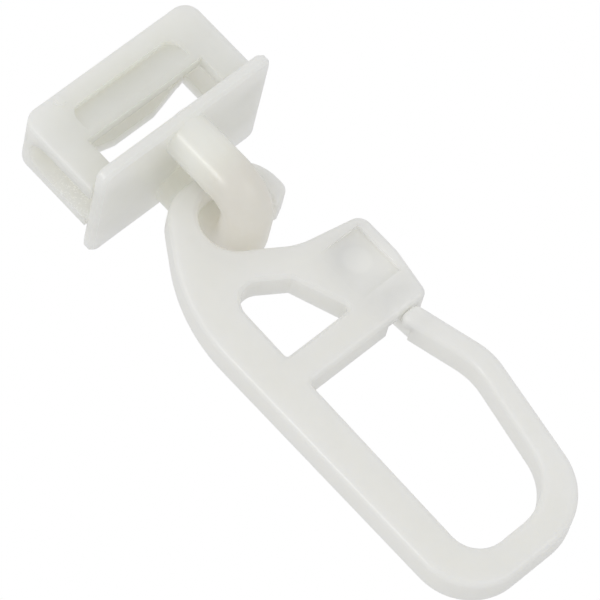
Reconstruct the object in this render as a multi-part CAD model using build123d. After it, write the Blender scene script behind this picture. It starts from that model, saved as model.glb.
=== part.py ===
from build123d import *
import math
import os

# Curtain glider with its pleat hook: two mouldings, in millimetres.
# X runs across the track, Y along it, +Z up. The origin is the middle of the
# flange's underside, the face that slides on the lips of the track.

# Glider: flange and bridge-shaped body
glider_width = 15.0     # across the track
flange_depth = 10.3
flange_thick = 0.95
flange_corner_r = 0.8
flange_bevel = 0.25
body_depth = 5.0        # along the track
body_height = 7.1       # above the flange
body_wall = 1.1         # front and back walls
body_roof = 1.3
body_shoulder_r = 1.25
body_edge_r = 0.35

# Glider: windows under the bridge, scoops in both faces, gate mark
window_width = 10.2
window_height = 3.05    # front window, above the flange
back_window_height = 3.35
back_window_flat = 3.5  # level part of the back window's upper edge
back_window_rise = 0.8  # from there up to the window's ends
scoop_width = 9.2
scoop_height = 1.9
scoop_depth = 0.6
scoop_top = 1.6         # below the top of the body
scoop_end_r = 0.9
gate_r = 0.4
gate_height = 0.2
gate_x = 4.6
gate_drop = 0.7         # below the top of the body

# Glider: eye, a round bar bent to a U below the flange
eye_bar_r = 1.75
eye_drop = 6.4          # from the flange's underside to the middle of the bar
eye_corner_r = 2.1
eye_inset = 0.15        # the legs stand this far inside the flange's edge

# Hook: snap loop, measured like the rest of the hook from the level of its middle
hook_thick = 2.5
hook_edge_r = 0.4       # rim of the front face
hook_bevel = 0.25       # rims of the back face and of the triangular window
loop_top = 3.45         # clear of the lips of the track
loop_x = 4.7            # outer side of the finger
crown_r = 3.4           # from the top to the finger's outer side
shoulder_x = -2.4       # where the spine's slope meets the top
shoulder_slope = 56.0   # degrees
shoulder_r = 3.0
loop_play = 0.85        # bore larger than the eye's bar, in radius
bore_x = 0.6            # middle of the bore
bore_drop = 0.4
seat_gap = 0.2          # between the bar and the bore where the bar sits
seat_angle = -42.0      # degrees, towards the mouth
finger_slope = 27.0     # degrees, lower face of the finger
finger_cut = 36.0       # degrees below level, where the finger leaves the bore
finger_r = 0.3
finger_nose_r = 0.8

# Hook: spine, foot and springy leg
spine_x = 7.05          # outer edge
spine_width = 3.3       # beside the loop
spine_foot_width = 2.8  # beside the foot
spine_bend_r = 14.0
throat_r = 1.5          # corner between the spine and the arm
foot_level = 31.1       # lowest edge below the loop's middle
foot_width = 2.35
heel_r = 4.2
toe_x = 4.9
toe_r = 5.0
heel_inner_r = 2.2
toe_inner_r = 4.2
toe_width = 1.5         # outer toe corner to inner toe corner, across
knee_x = 7.1            # the leg stands out furthest here
knee_level = 18.5
knee_r = 5.0
leg_width = 1.65
leg_top_x = 5.5         # outer edge of the leg's shoulder
leg_end_r = 0.5

# Hook: arm, crossbar and catch head
arm_width = 2.45
arm_slope = 33.0        # degrees
arm_dip = 0.06          # the bore dips this far into the arm's upper edge
arm_bend_x = 2.3        # the upper edge flattens here
arm_bend_r = 5.0
bar_level = 10.25       # upper edge of the crossbar
bar_width = 2.35
head_x = 7.25           # outer side of the head
head_top = 5.5
head_top_r = 1.0
head_side_level = 9.0   # below here the side leans in
head_foot_x = 6.65
head_side_r = 4.0
head_foot_r = 0.6
head_neck = 1.9         # inner side of the head at the crossbar
head_neck_r = 0.4
head_inner = 0.3        # inner side of the head at the arm's lower edge
window_r = 0.25         # corners of the openings beside the spine and the head

# Hook: latch, where the tip of the leg sits in a channel behind the head's front wall
latch_gap = 0.2         # all round the tip
latch_wall = 0.9        # head in front of the tip
leg_gap = 0.1           # between the leg's shoulder and the crossbar
tip_width = 1.2
tip_head_r = 1.1
tip_x = 4.5
tip_level = 7.8         # middle of the tip's round end
tip_step = 0.2          # the tongue is set in from the leg's faces
pocket_side = 0.85      # head left standing outside the pocket
pocket_width = 3.6
pocket_top = 6.0
pocket_depth = 0.4      # at its outer side, running out to nothing at its inner side

over = 1.0              # how far a cut reaches past the face it opens

# Sizes that follow from those above
body_top = flange_thick + body_height
hollow_depth = body_depth - 2 * body_wall
eye_leg_y = flange_depth / 2 - eye_inset - eye_bar_r
spine_inner = -spine_x + spine_width
heel_inner = -spine_x + spine_foot_width
foot_inner = -foot_level + foot_width
bar_top = -bar_level
bar_bottom = bar_top - bar_width
leg_top = bar_bottom - leg_gap
half_thick = hook_thick / 2
wall_back = -half_thick + latch_wall


def polar(radius, degrees):
    return (radius * math.cos(math.radians(degrees)), radius * math.sin(math.radians(degrees)))


bore_r = eye_bar_r + loop_play


def on_bore(radius, degrees):
    # point at a radius and a bearing from the middle of the bore
    x, z = polar(radius, degrees)
    return (bore_x + x, z - bore_drop)


graze = on_bore(bore_r - arm_dip, -90 - arm_slope)


def slab(profile, front, back):
    # solid with its profile in the X-Z plane, from Y = front to Y = back
    return Pos(0, back, 0) * extrude(Plane.XZ * profile, amount=back - front)


def outline(*corners):
    # closed face from corners given as (x, z, radius)
    points = [(x, z) for x, z, r in corners]
    return make_face(FilletPolyline(*points, radius=[r for x, z, r in corners], close=True))


def bridge():
    # inverted U: block with round shoulders, hollow from end to end
    block = Pos(0, 0, flange_thick + body_height / 2) * Box(glider_width, body_depth, body_height)
    shoulders = block.edges().filter_by(Axis.Y).group_by(Axis.Z)[-1]
    block = fillet(shoulders, body_shoulder_r)
    rims = block.edges().group_by(Axis.Y)
    block = fillet((rims[0] + rims[-1]).filter_by(lambda e: e.center().Z > flange_thick), body_edge_r)
    half = hollow_depth / 2
    spring = body_top - body_roof - half
    low = flange_thick - over
    tunnel = Pos(0, (low + spring) / 2) * Rectangle(hollow_depth, spring - low)
    tunnel += Pos(0, spring) * Circle(half)
    return block - extrude(Plane.YZ * tunnel, amount=glider_width / 2 + over, both=True)


def window_cuts():
    # front window has a level upper edge, the back one rises to its ends
    half = window_width / 2
    low = flange_thick - over
    front_top = flange_thick + window_height
    back_top = flange_thick + back_window_height
    rise = back_top + back_window_rise
    flat = back_window_flat / 2
    front = Polyline((-half, low), (half, low), (half, front_top), (-half, front_top), close=True)
    back = Polyline((-half, low), (half, low), (half, rise), (flat, back_top),
                    (-flat, back_top), (-half, rise), close=True)
    reach = body_depth / 2 + over
    return slab(make_face(front), -reach, 0) + slab(make_face(back), 0, reach)


def scoop_cut():
    # deep under its upper edge, running out to nothing at its lower edge
    face = body_depth / 2
    upper = body_top - scoop_top
    lean = scoop_depth / scoop_height
    section = Polyline((face - scoop_depth, upper), (face + over, upper),
                       (face + over, upper - scoop_height - over / lean), close=True)
    cut = extrude(Plane.YZ * make_face(section), amount=scoop_width / 2, both=True)
    corners = cut.edges().filter_by(Axis.Y).group_by(Axis.Z)[-1]
    return fillet(corners, scoop_end_r)


def eye():
    path = FilletPolyline(
        (0, -eye_leg_y, flange_thick),
        (0, -eye_leg_y, -eye_drop),
        (0, eye_leg_y, -eye_drop),
        (0, eye_leg_y, flange_thick),
        radius=eye_corner_r,
    )
    return sweep(Pos(0, -eye_leg_y, flange_thick) * Circle(eye_bar_r), path=path)


def make_glider():
    scoop = scoop_cut()
    body = bridge() - window_cuts() - scoop - mirror(scoop, about=Plane.XZ)
    gate = Cylinder(gate_r, 2 * gate_height, rotation=(90, 0, 0))
    body += Pos(-gate_x, -body_depth / 2, body_top - gate_drop) * gate
    flange = extrude(RectangleRounded(glider_width, flange_depth, flange_corner_r), amount=flange_thick)
    flange = chamfer(flange.edges().filter_by(Axis.X), flange_bevel)
    return flange + body + eye()


def soften(profile, point, radius):
    # round the corner of a flat profile that lies nearest the point
    return fillet(profile.vertices().sort_by_distance((point[0], point[1], 0))[0], radius)


def arm_edge(x):
    # height of the arm's straight upper edge, which grazes the bore
    return graze[1] - (x - graze[0]) * math.tan(math.radians(arm_slope))


def arm_under(x):
    return arm_edge(x) - arm_width / math.cos(math.radians(arm_slope))


def loop_and_frame():
    # finger, crown of the loop, spine, foot and leg in one outline
    mouth = on_bore(bore_r, -finger_cut)
    nose = mouth[1] + (loop_x - mouth[0]) * math.tan(math.radians(finger_slope))
    bend = loop_top - (spine_x + shoulder_x) * math.tan(math.radians(shoulder_slope))
    return outline(
        (bore_x, -bore_drop, 0),
        (mouth[0], mouth[1], 0),
        (loop_x, nose, finger_nose_r),
        (loop_x, loop_top, crown_r),
        (shoulder_x, loop_top, shoulder_r),
        (-spine_x, bend, spine_bend_r),
        (-spine_x, -foot_level, heel_r),
        (toe_x, -foot_level, toe_r),
        (knee_x, -knee_level, knee_r),
        (leg_top_x, leg_top, leg_end_r),
        (leg_top_x - leg_width, leg_top, leg_end_r),
        (knee_x - leg_width, -knee_level, knee_r),
        (toe_x - toe_width, foot_inner, toe_inner_r),
        (heel_inner, foot_inner, heel_inner_r),
        (spine_inner, -bore_drop, 0),
    )


def arm_and_head():
    # arm from the spine to the catch head, and the crossbar back to the spine
    root = spine_inner - over / 2
    return outline(
        (root, -bore_drop, 0),
        (bore_x, -bore_drop, 0),
        (graze[0], graze[1], 0),
        (arm_bend_x, arm_edge(arm_bend_x), arm_bend_r),
        (head_x, -head_top, head_top_r),
        (head_x, -head_side_level, head_side_r),
        (head_foot_x, bar_bottom, head_foot_r),
        (root, bar_bottom, 0),
        (root, bar_top, 0),
        (head_neck, bar_top, head_neck_r),
        (head_inner, arm_under(head_inner), window_r),
        (root, arm_under(root), 0),
    )


def hook_plate():
    profile = loop_and_frame() + arm_and_head() - Pos(bore_x, -bore_drop) * Circle(bore_r)
    profile = soften(profile, on_bore(bore_r, -finger_cut), finger_r)
    profile = soften(profile, (spine_inner, arm_under(spine_inner)), throat_r)
    profile = soften(profile, (spine_inner, bar_top), window_r)
    profile = soften(profile, (spine_inner, bar_bottom), window_r)
    plate = slab(profile, -half_thick, half_thick)
    window = plate.faces().sort_by(Axis.Y)[0].inner_wires()[0].edges()
    plate = chamfer(window + plate.edges().group_by(Axis.Y)[-1], hook_bevel)
    return fillet(plate.faces().sort_by(Axis.Y)[0].outer_wire().edges(), hook_edge_r)


def pocket_cut():
    # shallow hollow in the head's front face, above the crossbar
    outer = head_x - pocket_side
    inner = outer - pocket_width
    section = make_face(Polyline(
        (inner, -half_thick), (outer, pocket_depth - half_thick),
        (outer, -half_thick - over), (inner, -half_thick - over), close=True,
    ))
    return Pos(0, 0, -bar_level) * extrude(section, amount=bar_level - pocket_top)


def channel_cut():
    # open to the back and below, so that the leg can spring out
    half = tip_head_r + latch_gap
    low = leg_top - over
    channel = Pos(tip_x, (low - tip_level) / 2) * Rectangle(2 * half, -tip_level - low)
    channel += Pos(tip_x, -tip_level) * Circle(half)
    return slab(channel, wall_back, half_thick + over)


def leg_tip():
    # tongue on the leg's end that runs up behind the head's front wall
    lean = over * (knee_x - leg_top_x) / (leg_top + knee_level)
    half = tip_width / 2
    tongue = make_face(Polyline(
        (tip_x - half, -tip_level), (tip_x + half, -tip_level),
        (leg_top_x - tip_step + lean, leg_top - over),
        (leg_top_x - leg_width + tip_step + lean, leg_top - over), close=True,
    ))
    tongue += Pos(tip_x, -tip_level) * Circle(tip_head_r)
    return slab(tongue, wall_back + latch_gap, half_thick - tip_step)


def make_hook():
    # the loop hangs with the eye's bar at its seat
    seat = on_bore(loop_play - seat_gap, seat_angle)
    return Pos(-seat[0], 0, -eye_drop - seat[1]) * (hook_plate() - pocket_cut() - channel_cut() + leg_tip())


os.makedirs("parts", exist_ok=True)
export_step(make_glider(), "parts/glider.step")
export_step(make_hook(), "parts/pleat_hook.step")
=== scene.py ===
import bpy
import numpy as np
from mathutils import Matrix, Vector

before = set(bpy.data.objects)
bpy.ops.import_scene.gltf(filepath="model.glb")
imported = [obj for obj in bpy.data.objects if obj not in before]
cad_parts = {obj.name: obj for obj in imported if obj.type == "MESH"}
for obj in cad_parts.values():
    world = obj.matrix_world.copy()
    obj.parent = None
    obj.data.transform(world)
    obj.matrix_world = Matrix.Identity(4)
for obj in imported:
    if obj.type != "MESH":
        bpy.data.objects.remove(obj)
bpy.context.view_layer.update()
print("frame loaded:", sorted(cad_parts))

mm = 0.001
scene = bpy.context.scene


# mesh helper
def gridObject(name, points):
    # points is rows x columns x 3: each cell of the grid becomes one quad
    rows, cols = points.shape[:2]
    first = np.arange(rows - 1)[:, None] * cols + np.arange(cols - 1)[None, :]
    quads = np.stack([first, first + cols, first + cols + 1, first + 1], -1)
    mesh = bpy.data.meshes.new(name)
    mesh.from_pydata(points.reshape(-1, 3).tolist(), [], quads.reshape(-1, 4).tolist())
    mesh.polygons.foreach_set("use_smooth", np.ones(len(mesh.polygons), bool))
    mesh.update()
    obj = bpy.data.objects.new(name, mesh)
    scene.collection.objects.link(obj)
    return obj


# shader groups: only masks, colours and heights come out of them
def newGroup(name, inputs, outputs):
    group = bpy.data.node_groups.new(name, "ShaderNodeTree")
    for label, kind, value in inputs:
        socket = group.interface.new_socket(name=label, in_out="INPUT", socket_type=kind)
        socket.default_value = value
    for label, kind in outputs:
        group.interface.new_socket(name=label, in_out="OUTPUT", socket_type=kind)
    return group, group.nodes.new("NodeGroupInput"), group.nodes.new("NodeGroupOutput")


def addNode(tree, kind, settings=None, values=None, links=None):
    node = tree.nodes.new(kind)
    for key, value in (settings or {}).items():
        setattr(node, key, value)
    for key, value in (values or {}).items():
        node.inputs[key].default_value = value
    for key, source in (links or {}).items():
        tree.links.new(source, node.inputs[key])
    return node


def milkGroup():
    # cloudy resin: a broad cloud and a finer one blend the clear tone into the dense one
    fineShare = 0.35
    group, gin, gout = newGroup("milkyCloud", [
        ("Clear", "NodeSocketColor", (0.7, 0.7, 0.64, 1)),
        ("Dense", "NodeSocketColor", (0.76, 0.76, 0.72, 1)),
        ("Cloud Size", "NodeSocketFloat", 160.0),
        ("Fine Size", "NodeSocketFloat", 900.0),
    ], [("Color", "NodeSocketColor")])
    place = addNode(group, "ShaderNodeTexCoord")
    broad = addNode(group, "ShaderNodeTexNoise", values={"Detail": 2.0, "Roughness": 0.5},
                    links={"Vector": place.outputs["Object"], "Scale": gin.outputs["Cloud Size"]})
    fine = addNode(group, "ShaderNodeTexNoise", values={"Detail": 3.0, "Roughness": 0.6},
                   links={"Vector": place.outputs["Object"], "Scale": gin.outputs["Fine Size"]})
    both = addNode(group, "ShaderNodeMath", {"operation": "MULTIPLY_ADD"}, {1: fineShare},
                   {0: fine.outputs["Fac"], 2: broad.outputs["Fac"]})
    mask = addNode(group, "ShaderNodeMapRange", values={"From Min": 0.48, "From Max": 0.88},
                   links={"Value": both.outputs["Value"]})
    mix = addNode(group, "ShaderNodeMix", {"data_type": "RGBA"})
    group.links.new(mask.outputs["Result"], mix.inputs["Factor"])
    group.links.new(gin.outputs["Clear"], mix.inputs[6])
    group.links.new(gin.outputs["Dense"], mix.inputs[7])
    group.links.new(mix.outputs[2], gout.inputs["Color"])
    return group


def skinGroup():
    # moulded skin: fine spark grain, soft sink ripple and a few drag lines along the draw
    grainShare = 0.22
    dragShare = 0.05
    group, gin, gout = newGroup("mouldSkin", [
        ("Grain Size", "NodeSocketFloat", 5200.0),
        ("Ripple Size", "NodeSocketFloat", 420.0),
        ("Drag Size", "NodeSocketFloat", 1500.0),
        ("Smooth", "NodeSocketFloat", 0.34),
        ("Dull", "NodeSocketFloat", 0.5),
    ], [("Height", "NodeSocketFloat"), ("Roughness", "NodeSocketFloat")])
    place = addNode(group, "ShaderNodeTexCoord")
    grain = addNode(group, "ShaderNodeTexNoise", values={"Detail": 2.0},
                    links={"Vector": place.outputs["Object"], "Scale": gin.outputs["Grain Size"]})
    ripple = addNode(group, "ShaderNodeTexNoise", values={"Detail": 1.0},
                     links={"Vector": place.outputs["Object"], "Scale": gin.outputs["Ripple Size"]})
    stretch = addNode(group, "ShaderNodeMapping", values={"Scale": (1.0, 0.08, 1.0)},
                      links={"Vector": place.outputs["Object"]})
    drag = addNode(group, "ShaderNodeTexNoise", values={"Detail": 3.0},
                   links={"Vector": stretch.outputs["Vector"], "Scale": gin.outputs["Drag Size"]})
    grained = addNode(group, "ShaderNodeMath", {"operation": "MULTIPLY_ADD"}, {1: grainShare},
                      {0: grain.outputs["Fac"], 2: ripple.outputs["Fac"]})
    dragged = addNode(group, "ShaderNodeMath", {"operation": "MULTIPLY_ADD"}, {1: dragShare},
                      {0: drag.outputs["Fac"], 2: grained.outputs["Value"]})
    group.links.new(dragged.outputs["Value"], gout.inputs["Height"])
    rough = addNode(group, "ShaderNodeMapRange", values={"From Min": 0.3, "From Max": 0.7},
                    links={"Value": drag.outputs["Fac"],
                           "To Min": gin.outputs["Smooth"], "To Max": gin.outputs["Dull"]})
    group.links.new(rough.outputs["Result"], gout.inputs["Roughness"])
    return group


def paintedGlowGroup():
    # painted glow, standing in for light that comes through thin walls: an emitted tint that falls off
    # smoothly with the distance from a centre, measured in shares of a reach along each axis
    group, gin, gout = newGroup("paintedThroughGlow", [
        ("Centre", "NodeSocketVector", (0, 0, 0)),
        ("Reach", "NodeSocketVector", (1, 1, 1)),
        ("Core", "NodeSocketFloat", 0.25),
        ("Tint", "NodeSocketColor", (0.1, 0.1, 0.1, 1)),
    ], [("Color", "NodeSocketColor")])
    place = addNode(group, "ShaderNodeTexCoord")
    offset = addNode(group, "ShaderNodeVectorMath", {"operation": "SUBTRACT"},
                     links={0: place.outputs["Object"], 1: gin.outputs["Centre"]})
    share = addNode(group, "ShaderNodeVectorMath", {"operation": "DIVIDE"},
                    links={0: offset.outputs["Vector"], 1: gin.outputs["Reach"]})
    away = addNode(group, "ShaderNodeVectorMath", {"operation": "LENGTH"}, links={0: share.outputs["Vector"]})
    fade = addNode(group, "ShaderNodeMapRange", {"interpolation_type": "SMOOTHSTEP"},
                   {"From Max": 1.0, "To Min": 1.0, "To Max": 0.0},
                   {"Value": away.outputs["Value"], "From Min": gin.outputs["Core"]})
    mix = addNode(group, "ShaderNodeMix", {"data_type": "RGBA"}, {6: (0, 0, 0, 1)},
                  {"Factor": fade.outputs["Result"], 7: gin.outputs["Tint"]})
    group.links.new(mix.outputs[2], gout.inputs["Color"])
    return group


def paintedSparkleGroup():
    # painted sparkle: only the peaks of a fine noise are left as small bright emitted specks
    group, gin, gout = newGroup("paintedSparkSpecks", [
        ("Size", "NodeSocketFloat", 6000.0),
        ("Tint", "NodeSocketColor", (0.1, 0.1, 0.1, 1)),
    ], [("Color", "NodeSocketColor")])
    place = addNode(group, "ShaderNodeTexCoord")
    noise = addNode(group, "ShaderNodeTexNoise", values={"Detail": 1.0},
                    links={"Vector": place.outputs["Object"], "Scale": gin.outputs["Size"]})
    peaks = addNode(group, "ShaderNodeMapRange", values={"From Min": 0.54, "From Max": 0.66},
                    links={"Value": noise.outputs["Fac"]})
    mix = addNode(group, "ShaderNodeMix", {"data_type": "RGBA"}, {6: (0, 0, 0, 1)},
                  {"Factor": peaks.outputs["Result"], 7: gin.outputs["Tint"]})
    group.links.new(mix.outputs[2], gout.inputs["Color"])
    return group


def pinGroup():
    # witness of an ejector pin: a faint ridge whose height fades with the distance from a circle,
    # drawn in the X-Z plane and carried through along Y
    group, gin, gout = newGroup("pinRing", [
        ("Centre", "NodeSocketVector", (0, 0, 0)),
        ("Radius", "NodeSocketFloat", 0.0006),
        ("Width", "NodeSocketFloat", 0.00008),
    ], [("Height", "NodeSocketFloat")])
    place = addNode(group, "ShaderNodeTexCoord")
    offset = addNode(group, "ShaderNodeVectorMath", {"operation": "SUBTRACT"},
                     links={0: place.outputs["Object"], 1: gin.outputs["Centre"]})
    flat = addNode(group, "ShaderNodeVectorMath", {"operation": "MULTIPLY"}, {1: (1, 0, 1)},
                   {0: offset.outputs["Vector"]})
    away = addNode(group, "ShaderNodeVectorMath", {"operation": "LENGTH"}, links={0: flat.outputs["Vector"]})
    beside = addNode(group, "ShaderNodeMath", {"operation": "SUBTRACT"},
                     links={0: away.outputs["Value"], 1: gin.outputs["Radius"]})
    apart = addNode(group, "ShaderNodeMath", {"operation": "ABSOLUTE"}, links={0: beside.outputs["Value"]})
    ridge = addNode(group, "ShaderNodeMapRange", {"interpolation_type": "SMOOTHSTEP"},
                    {"From Min": 0.0, "To Min": 1.0, "To Max": 0.0},
                    {"Value": apart.outputs["Value"], "From Max": gin.outputs["Width"]})
    group.links.new(ridge.outputs["Result"], gout.inputs["Height"])
    return group


milkyCloud = milkGroup()
mouldSkin = skinGroup()
paintedThroughGlow = paintedGlowGroup()
paintedSparkSpecks = paintedSparkleGroup()
pinRing = pinGroup()


plasticSheen = dict(ior=1.53, coatRoughness=0.14)


def milkyPlastic(name, look):
    mat = bpy.data.materials.new(name)
    mat.use_nodes = True
    tree = mat.node_tree
    shader = tree.nodes["Principled BSDF"]
    milk = addNode(tree, "ShaderNodeGroup", {"node_tree": milkyCloud}, {
        "Clear": look["clear"] + (1,), "Dense": look["dense"] + (1,),
        "Cloud Size": look["cloudSize"], "Fine Size": look["fineSize"]})
    skin = addNode(tree, "ShaderNodeGroup", {"node_tree": mouldSkin}, {
        "Smooth": look["smooth"], "Dull": look["dull"], "Ripple Size": look["rippleSize"]})
    bump = addNode(tree, "ShaderNodeBump", values={"Strength": look["bump"], "Distance": look["bumpDepth"]},
                   links={"Height": skin.outputs["Height"]})
    tree.links.new(milk.outputs["Color"], shader.inputs["Base Color"])
    tree.links.new(skin.outputs["Roughness"], shader.inputs["Roughness"])
    tree.links.new(bump.outputs["Normal"], shader.inputs["Normal"])
    shader.inputs["Subsurface Weight"].default_value = look["depth"]
    shader.inputs["Subsurface Radius"].default_value = look["bleed"]
    shader.inputs["Subsurface Scale"].default_value = look["reach"]
    shader.inputs["Specular IOR Level"].default_value = look["shine"]
    shader.inputs["IOR"].default_value = plasticSheen["ior"]
    shader.inputs["Coat Weight"].default_value = look["gloss"]
    shader.inputs["Coat Roughness"].default_value = plasticSheen["coatRoughness"]
    return mat


def paintGlowSpots(mat, spots):
    # the painted glow tints of all spots add up to the emission colour, so these parts glow though they are
    # no lamp
    tree = mat.node_tree
    total = None
    for spot in spots:
        glow = addNode(tree, "ShaderNodeGroup", {"node_tree": paintedThroughGlow}, {
            "Centre": [c * mm for c in spot["centre"]], "Reach": [c * mm for c in spot["reach"]],
            "Core": spot["core"], "Tint": spot["tint"] + (1,)})
        tint = glow.outputs["Color"]
        if "grain" in spot:
            specks = addNode(tree, "ShaderNodeGroup", {"node_tree": paintedSparkSpecks}, {"Size": spot["grain"]},
                             {"Tint": tint})
            tint = specks.outputs["Color"]
        total = tint if total is None else addNode(
            tree, "ShaderNodeMix", {"data_type": "RGBA", "blend_type": "ADD"}, {"Factor": 1.0},
            {6: total, 7: tint}).outputs[2]
    shader = tree.nodes["Principled BSDF"]
    tree.links.new(total, shader.inputs["Emission Color"])
    shader.inputs["Emission Strength"].default_value = 1.0


# glider
gliderLook = dict(
    clear=(0.91, 0.903, 0.79), dense=(0.94, 0.935, 0.835), cloudSize=170.0, fineSize=1100.0,
    smooth=0.31, dull=0.38, rippleSize=430.0, bump=0.1, bumpDepth=0.00008,
    depth=1.0, bleed=(1.0, 0.96, 0.88), reach=0.006, shine=0.5, gloss=0.3,
)
gliderPlastic = milkyPlastic("gliderPlastic", gliderLook)

# painted shade: the eye's bar is multiplied darker towards its bottom, standing in for the thick bar letting
# less light through
eyePaintedShade = dict(start=-1.6, full=-5.2, tint=(0.79, 0.768, 0.80))
gliderTree = gliderPlastic.node_tree
gliderShader = gliderTree.nodes["Principled BSDF"]
gliderPlace = addNode(gliderTree, "ShaderNodeTexCoord")
gliderAxes = addNode(gliderTree, "ShaderNodeSeparateXYZ", links={"Vector": gliderPlace.outputs["Object"]})
eyeShadeMask = addNode(gliderTree, "ShaderNodeMapRange", {"interpolation_type": "SMOOTHSTEP"},
                  {"From Min": eyePaintedShade["full"] * mm, "From Max": eyePaintedShade["start"] * mm,
                   "To Min": 1.0, "To Max": 0.0},
                  {"Value": gliderAxes.outputs["Z"]})
cloudColor = gliderShader.inputs["Base Color"].links[0].from_socket
eyeShadeMix = addNode(gliderTree, "ShaderNodeMix", {"data_type": "RGBA", "blend_type": "MULTIPLY"},
                 {7: eyePaintedShade["tint"] + (1,)},
                 {"Factor": eyeShadeMask.outputs["Result"], 6: cloudColor})
gliderTree.links.new(eyeShadeMix.outputs[2], gliderShader.inputs["Base Color"])

# painted glow round the bar, and painted sparkle: small bright emitted specks inside the open end of the body
barPaintedGlow = dict(centre=(0, 0, -6.4), reach=(4.2, 4.2, 4.2), core=0.25, tint=(0.08, 0.077, 0.068))
mouthPaintedSparkle = dict(centre=(-6.0, 1.4, 2.6), reach=(3.4, 1.0, 3.6), core=0.2,
                   tint=(0.1, 0.1, 0.1), grain=9000.0)
paintGlowSpots(gliderPlastic, [barPaintedGlow, mouthPaintedSparkle])
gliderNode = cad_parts["glider"]
gliderNode.data.materials.clear()
gliderNode.data.materials.append(gliderPlastic)
print("glider dressed")

# hook
hookLook = dict(
    clear=(0.845, 0.841, 0.80), dense=(0.875, 0.872, 0.836), cloudSize=140.0, fineSize=950.0,
    smooth=0.31, dull=0.36, rippleSize=380.0, bump=0.1, bumpDepth=0.00008,
    depth=0.9, bleed=(1.0, 0.98, 0.92), reach=0.003, shine=0.5, gloss=0.3,
)
hookPlastic = milkyPlastic("hookPlastic", hookLook)
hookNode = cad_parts["pleat_hook"]
hookNode.data.materials.clear()
hookNode.data.materials.append(hookPlastic)

# painted glow where light would come through: leg's tip, head, gap above the leg, wall round the eye's bar
hookPaintedGlows = [
    dict(centre=(3.55, 0, -13.4), reach=(1.25, 4.0, 1.25), core=0.7, tint=(0.03, 0.03, 0.028)),
    dict(centre=(3.9, 0, -14.6), reach=(2.7, 4.0, 3.3), core=0.2, tint=(0.09, 0.09, 0.085)),
    dict(centre=(3.8, 0, -18.2), reach=(1.8, 4.0, 1.8), core=0.25, tint=(0.08, 0.08, 0.075)),
    dict(centre=(-0.5, 0, -5.9), reach=(4.2, 3.0, 4.2), core=0.25, tint=(0.2, 0.195, 0.18)),
]
paintGlowSpots(hookPlastic, hookPaintedGlows)

# faint rings that the ejector pins leave on the front of the crossbar and the head
hookTree = hookPlastic.node_tree
pinMarks = dict(share=0.6, width=0.14, places=[((1.82, 0, -17.0), 0.55), ((4.12, 0, -16.9), 0.65)])
hookBump = hookTree.nodes["Bump"]
for centre, radius in pinMarks["places"]:
    ring = addNode(hookTree, "ShaderNodeGroup", {"node_tree": pinRing}, {
        "Centre": [c * mm for c in centre], "Radius": radius * mm, "Width": pinMarks["width"] * mm})
    raised = addNode(hookTree, "ShaderNodeMath", {"operation": "MULTIPLY_ADD"}, {1: pinMarks["share"]},
                     {0: ring.outputs["Height"], 2: hookBump.inputs["Height"].links[0].from_socket})
    hookTree.links.new(raised.outputs["Value"], hookBump.inputs["Height"])
print("hook dressed")

# floor far below the hanging part
floorLook = dict(level=-0.32, half=1.6, lines=9, tone=(0.9, 0.9, 0.9), roughness=0.9)
floorLine = np.linspace(-1, 1, floorLook["lines"]) * floorLook["half"]
floorX, floorY = np.meshgrid(floorLine, floorLine, indexing="ij")
floor = gridObject("paleFloor", np.stack([floorX, floorY, np.full_like(floorX, floorLook["level"])], -1))
floorMat = bpy.data.materials.new("palePaper")
floorMat.use_nodes = True
floorShader = floorMat.node_tree.nodes["Principled BSDF"]
floorShader.inputs["Base Color"].default_value = floorLook["tone"] + (1,)
floorShader.inputs["Roughness"].default_value = floorLook["roughness"]
floor.data.materials.append(floorMat)

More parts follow.
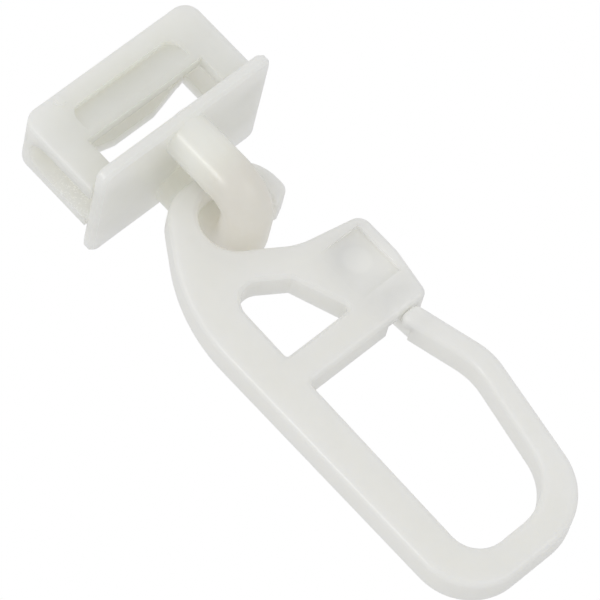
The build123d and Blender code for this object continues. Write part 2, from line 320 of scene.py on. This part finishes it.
# light: a white surround does most of it, the camera sees plain white
surround = 0.695
world = bpy.data.worlds.new("whiteRoom")
world.use_nodes = True
scene.world = world
wt = world.node_tree
backdrop = wt.nodes["Background"]
backdrop.inputs["Color"].default_value = (1, 1, 1, 1)
backdrop.inputs["Strength"].default_value = 1.0
around = addNode(wt, "ShaderNodeBackground", values={"Color": (1, 1, 1, 1), "Strength": surround})
rays = addNode(wt, "ShaderNodeLightPath")
pick = addNode(wt, "ShaderNodeMixShader")
wt.links.new(rays.outputs["Is Camera Ray"], pick.inputs[0])
wt.links.new(around.outputs[0], pick.inputs[1])
wt.links.new(backdrop.outputs[0], pick.inputs[2])
wt.links.new(pick.outputs[0], wt.nodes["World Output"].inputs["Surface"])


# four small soft boxes: streaks from the left and above, a lift from below and from the right
lightAim = (0, 0, -0.012)
softBoxes = dict(
    keySoftBox=dict(place=(-0.45, -0.33, 0.13), size=0.16, power=0.37),
    upperSoftBox=dict(place=(-0.33, -0.29, 0.35), size=0.1, power=0.11),
    belowSoftBox=dict(place=(0.1, -0.32, -0.27), size=0.25, power=0.16),
    edgeSoftBox=dict(place=(0.4, -0.2, 0.25), size=0.2, power=0.05),
)


def softBox(name, place, size, power):
    data = bpy.data.lights.new(name, "AREA")
    data.shape = "DISK"
    data.size = size
    data.energy = power
    lamp = bpy.data.objects.new(name, data)
    scene.collection.objects.link(lamp)
    lamp.location = place
    lamp.rotation_mode = "QUATERNION"
    lamp.rotation_quaternion = (Vector(lightAim) - Vector(place)).to_track_quat("-Z", "Y")


for boxName, box in softBoxes.items():
    softBox(boxName, **box)

# camera at the photograph's angle: right and back are axes of the picture, centre is in millimetres
shot = dict(right=(0.730, -0.131, -0.671), back=(-0.399, -0.879, -0.262), centre=(0.533, 3.320, -11.917),
            distance=0.35, width=0.040, sensor=36, near=0.01, far=20)
right = Vector(shot["right"]).normalized()
back = (Vector(shot["back"]) - right * right.dot(Vector(shot["back"]))).normalized()
up = back.cross(right)
camData = bpy.data.cameras.new("photoCamera")
camData.sensor_width = shot["sensor"]
camData.lens = shot["sensor"] * shot["distance"] / shot["width"]
camData.clip_start = shot["near"]
camData.clip_end = shot["far"]
cam = bpy.data.objects.new("photoCamera", camData)
scene.collection.objects.link(cam)
turn = Matrix((right, up, back)).transposed().to_4x4()
cam.matrix_world = Matrix.Translation(Vector(shot["centre"]) * mm + back * shot["distance"]) @ turn
scene.camera = cam
scene.view_settings.view_transform = "Standard"
scene.view_settings.look = "None"
print("stage set")
